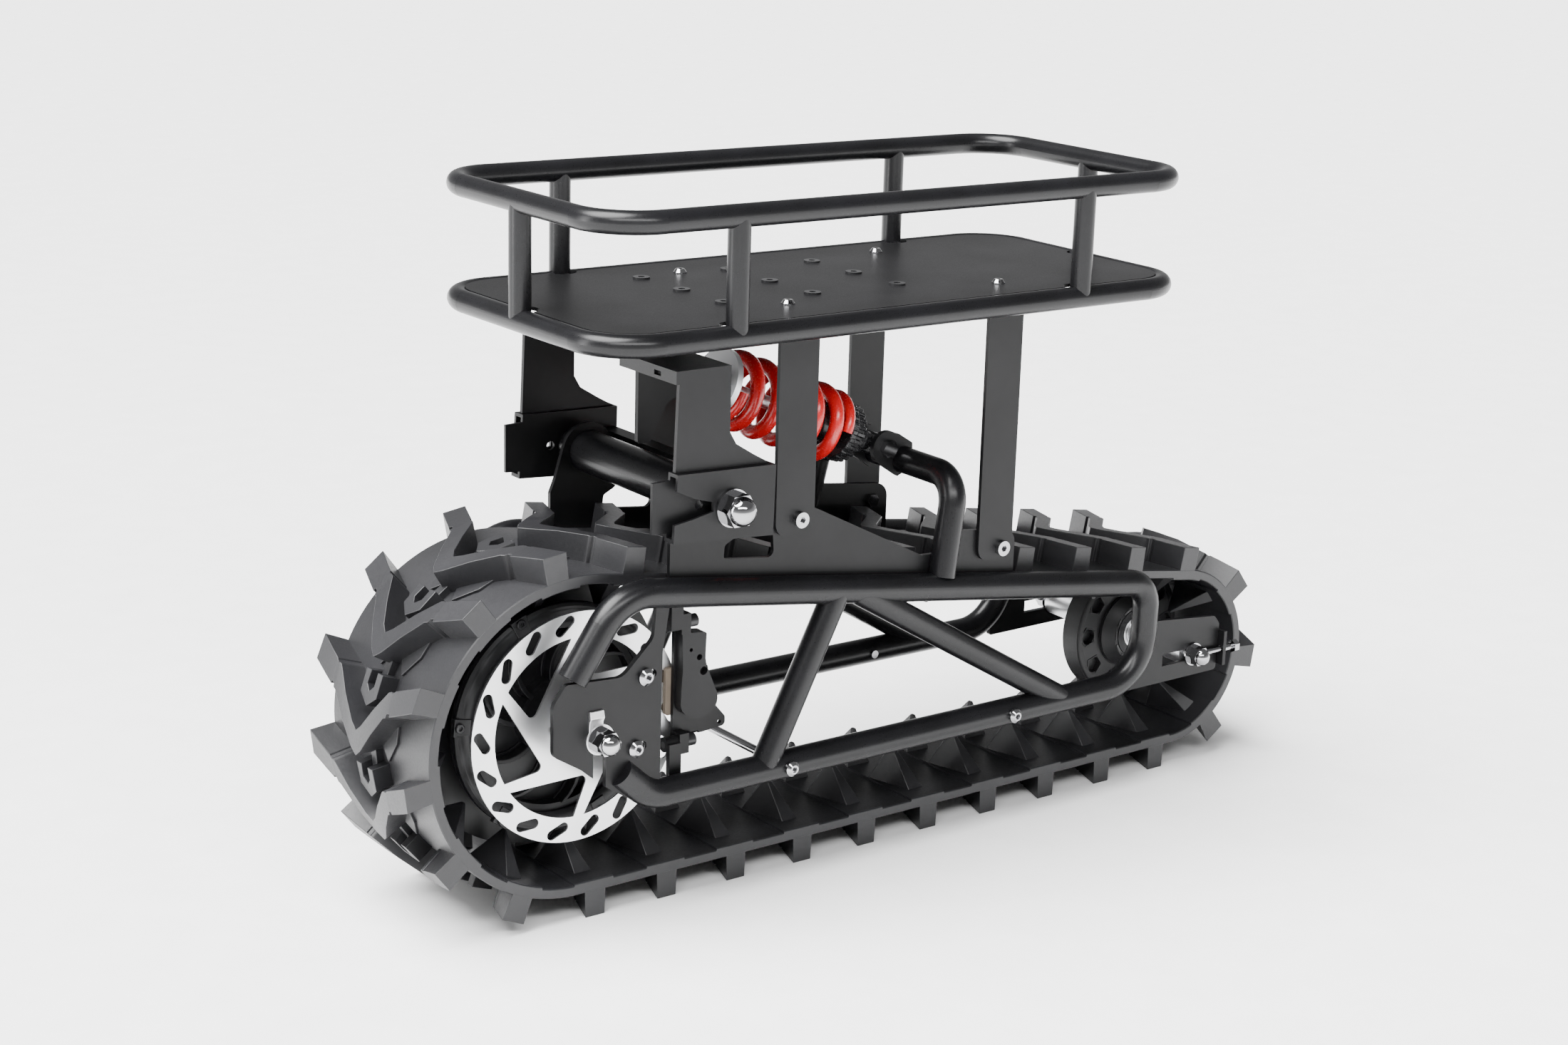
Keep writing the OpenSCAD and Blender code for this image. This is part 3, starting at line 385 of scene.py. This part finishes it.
def drum_clips():
    """Six clips with a socket screw each, across the rim of the wheel."""
    plates, screws = Shape(), Shape()
    count, first, screw_ring = 6, 6, 99
    clip = [(88, -4.4), (104, -4.4), (104, 4.4), (88, 4.4)]
    screw = [(4.2, 49), (4.2, 51), (3.6, 51.6), (2.0, 51.6), (2.0, 50), (0.4, 50), (0.4, 49)]
    for side in (1, -1):
        for k in range(count):
            mid = first + 360 / count * k
            plates.skin([[around(AXLE_F, r, mid + turn, side * y) for r, turn in clip]
                         for y in (44, 49.2)])
            x, _, z = around(AXLE_F, screw_ring, mid, 0)
            screws.skin(lathe_y((x, z), [(r, side * y) for r, y in screw], 24), loop=True)
    plates.piece("drum_clips", "drive_wheel", "drum_black", bevel=0.6)
    screws.piece("drum_clip_screws", "drive_wheel", "black_hardware")


drum_rims()
drum_ribs()
drum_clips()


# ---------- idler ----------

AXLE_R = (-374.0, 124.0)


def idler_trim():
    """Dished shoulder, slotted hub ring and pentagon outlines on both faces of the idler."""
    dish, slots, marks = Shape(), Shape(), Shape()
    shoulder = [(24.5, 12), (24.5, 23.4), (28, 23.4), (33, 18), (38, 14.2), (38, 12)]
    rim = [(61, 10), (61, 11.6)] + arc_profile(65.5, 10, 2.2, 90, 0, 5) + [(67.7, 10)]
    slot_count, slot_in, slot_out, slot_spread = 12, 25.5, 27.5, 9
    corners = [(slot_in, -slot_spread), (slot_out, -slot_spread), (slot_out, 0),
               (slot_out, slot_spread), (slot_in, slot_spread), (slot_in, 0)]
    mark_count, mark_ring, mark_in, mark_out = 10, 53, 9.4, 10.8
    for side in (1, -1):
        for profile in (shoulder, rim):
            dish.skin(lathe_y(AXLE_R, [(r, side * y) for r, y in profile]), loop=True)
        for k in range(slot_count):
            slots.skin([[around(AXLE_R, r, 360 / slot_count * k + turn, side * y)
                         for r, turn in corners] for y in (23.2, 24.2)])
        for k in range(mark_count):
            turn = 360 / mark_count * k
            x, _, z = around(AXLE_R, mark_ring, turn, 0)
            for e in range(5):
                a0, a1 = turn + 72 * e, turn + 72 * (e + 1)
                marks.skin([[around((x, z), r, a, side * y) for r, a in
                             ((mark_in, a0), (mark_out, a0), (mark_out, a1), (mark_in, a1))]
                            for y in (10, 11.2)])
    dish.piece("idler_dish", "idler", "idler_plastic", crease=30)
    slots.piece("idler_hub_slots", "idler", "black_hardware")
    marks.piece("idler_outlines", "idler", "idler_plastic", bevel=0.2)


idler_trim()


# ---------- shock absorber ----------

EYE_REAR = (-42.5, 356.0)
EYE_FRONT = (165.0, 445.0)
SPRING_R, WIRE_R, COILS = 36.0, 6.6, 6
SEATS = (50.0, 188.0)


def shock_frame():
    """Origin, along, across and up directions of the damper's axis, in millimetres."""
    along = Vector((EYE_FRONT[0] - EYE_REAR[0], 0, EYE_FRONT[1] - EYE_REAR[1])).normalized()
    across = Vector((0, 1, 0))
    return Vector((EYE_REAR[0], 0, EYE_REAR[1])), along, across, along.cross(across)


def shock_point(radius, angle, distance):
    """Point at a radius and an angle in degrees about the damper's axis, from the rear eye."""
    origin, along, across, upward = shock_frame()
    a = math.radians(angle)
    return tuple(origin + along * distance + across * (radius * math.cos(a))
                 + upward * (radius * math.sin(a)))


def shock_lathe(profile, steps):
    """Rings of a closed profile of (radius, distance) points turned about the damper's axis."""
    return [[shock_point(r, 360 * k / steps, d) for r, d in profile] for k in range(steps)]


def spring():
    """Coil spring: at each end the wire thins and lies flat for part of a turn."""
    sides, per_turn, stroke = 16, 40, 24
    closed, end_wire = 0.8, 0.72
    count = COILS * per_turn
    mid_r = SPRING_R - WIRE_R
    low, high = SEATS[0] + WIRE_R, SEATS[1] - WIRE_R
    rings = []
    for k in range(count + 1):
        t = k / count
        lead = min(1, t * COILS / closed, (1 - t) * COILS / closed)
        rise = low + (high - low) * (t * COILS - closed / 2) / (COILS - closed)
        rise = max(low, min(high, rise))
        wire = WIRE_R * (end_wire + (1 - end_wire) * lead)
        angle = 360 * t * COILS
        ring = []
        for e in range(sides):
            b = 2 * math.pi * e / sides
            ring.append(shock_point(mid_r + wire * math.cos(b), angle, rise + wire * math.sin(b)))
        rings.append(ring)
    obj = Shape().skin(rings).piece("spring_coil", "damper_body", "spring_red",
                                    replaces=["spring"], crease=60)
    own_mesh(obj)


def preload_ring():
    """Threaded adjuster: two notched rings under the spring, and the thread behind them."""
    shape = Shape()
    teeth, bore = 24, 17.5
    adjuster, lock = (33, 43, 25.5, 28.0), (43.6, 50, 29.0, 29.8)
    for low, high, root, tip in (adjuster, lock):
        rings = []
        for k in range(teeth):
            for part, r in ((0, root), (0.12, tip), (0.5, tip), (0.62, root)):
                profile = [(bore, low), (r - 1, low), (r, low + 1),
                           (r, high - 1), (r - 1, high), (bore, high)]
                rings.append([shock_point(q, 360 * (k + part) / teeth, d) for q, d in profile])
        shape.skin(rings, loop=True)
    shape.piece("preload_rings", "damper_body", "damper_black",
                replaces=["preload_collar"], bevel=0.25)
    thread = Shape()
    start, pitch, root, crest = 22, 1.4, 15.8, 16.5
    for k in range(9):
        d = start + pitch * k
        profile = [(root, d), (crest, d + pitch / 4),
                   (crest, d + pitch / 2), (root, d + 3 * pitch / 4)]
        thread.skin(shock_lathe(profile, 48), loop=True)
    thread.piece("damper_thread", "damper_body", "damper_black")


spring()
preload_ring()


# ---------- finish on the CAD parts ----------

def ease(names, width, segments=2):
    """Rounds the cut edges of plates and teeth, on the CAD's own mesh."""
    weld_reach = 0.00001
    for name in names:
        obj = frame["nodes"][name]
        obj.modifiers.new("weld", "WELD").merge_threshold = weld_reach
        soften(obj, width, segments, angle=50)


ease(["side_plate_left", "side_plate_right", "dropout_left", "dropout_right"], 0.5)
ease(["belt_teeth"], 0.4, 1)


def tab_washers():
    """Washer under each drive axle nut, with its tab bent into the dropout."""
    shape = Shape()
    hole, rim = 6.2, 13.5
    y0, y1 = 108.4, 109.8
    tab_low, tab_high = -2.5, 11
    ring = [(hole, y0), (rim, y0), (rim, y1), (hole, y1)]
    for side in (1, -1):
        shape.skin(lathe_y(AXLE_F, [(r, side * y) for r, y in ring], 48), loop=True)
        shape.skin([[(AXLE_F[0] + x, side * y, AXLE_F[1] + z) for x, y in
                     ((tab_low, y0), (tab_high, y0), (tab_high, y1 + out), (tab_low, y1 + out))]
                    for z, out in ((8, 0), (16, 0.4), (20, 2.4), (26, 1.0))])
    shape.piece("tab_washers", "track_frame", "bearing_steel", bevel=0.3)


tab_washers()


# ---------- stage, lights and camera ----------

def camera():
    """Camera that looks from above the left front corner; lens and sensor in millimetres."""
    place = (1.4425, 1.8643, 0.9393)
    right = Vector((-0.78915, 0.61312, 0.03642))
    up = Vector((-0.14216, -0.24001, 0.96030))
    back = Vector((0.59752, 0.75265, 0.27657))
    data = bpy.data.cameras.new("camera")
    data.lens = 61.19
    data.sensor_width = 36
    data.shift_x = -0.0506
    data.shift_y = 0.0175
    data.clip_end = 50
    obj = bpy.data.objects.new("camera", data)
    turn = Matrix((right, up, back)).transposed().to_4x4()
    obj.matrix_world = Matrix.Translation(place) @ turn
    bpy.context.scene.collection.objects.link(obj)
    bpy.context.scene.camera = obj


def area_light(name, place, target, size, power):
    """Rectangular soft light aimed at a target."""
    data = bpy.data.lights.new(name, "AREA")
    data.shape = "RECTANGLE"
    data.size, data.size_y = size
    data.energy = power
    obj = bpy.data.objects.new(name, data)
    obj.location = place
    aim = Vector(target) - Vector(place)
    obj.rotation_euler = aim.to_track_quat("-Z", "Y").to_euler()
    bpy.context.scene.collection.objects.link(obj)


def backdrop():
    """World that is bright at the horizon and darkens overhead."""
    horizon, overhead, strength = (0.0, 0.30), (0.4, 0.08), 3.2
    world = bpy.data.worlds.new("studio")
    world.use_nodes = True
    tree = world.node_tree
    shader = tree.nodes["Background"]
    coords = tree.nodes.new("ShaderNodeTexCoord")
    split = tree.nodes.new("ShaderNodeSeparateXYZ")
    tree.links.new(coords.outputs["Generated"], split.inputs["Vector"])
    shade = ramp(tree, split.outputs["Z"], [horizon, overhead])
    tree.links.new(shade, shader.inputs["Color"])
    shader.inputs["Strength"].default_value = strength
    bpy.context.scene.world = world


def lights():
    """One broad overhead light, a strip above the left side and a panel ahead."""
    slant, spread = Vector((-0.45, 0.10, -1)), 50
    sun = bpy.data.lights.new("overhead", "SUN")
    sun.energy = 14
    sun.angle = math.radians(spread)
    overhead = bpy.data.objects.new("overhead", sun)
    overhead.rotation_euler = slant.to_track_quat("-Z", "Y").to_euler()
    bpy.context.scene.collection.objects.link(overhead)
    area_light("strip", place=(0.9, 1.6, 1.7), target=(0, 0, 0.35), size=(2.6, 0.35), power=55)
    area_light("front", place=(2.4, -0.6, 0.9), target=(0.3, 0, 0.25), size=(0.5, 1.6), power=30)


def white_floor():
    """Floor at the height of the belt's lowest lugs; its half width is in metres."""
    half = 60.0
    mesh = bpy.data.meshes.new("floor")
    mesh.from_pydata([(-half, -half, 0), (half, -half, 0), (half, half, 0), (-half, half, 0)],
                     [], [(0, 1, 2, 3)])
    floor = bpy.data.objects.new("floor", mesh)
    bpy.context.scene.collection.objects.link(floor)
    mesh.materials.append(surface("floor_paint", (0.88, 0.88, 0.88), (0.92, 0.92, 0.92),
                                  (0.8, 0.9), grain=40, bump_strength=0.02, specular=0.1))


camera()
backdrop()
lights()
white_floor()
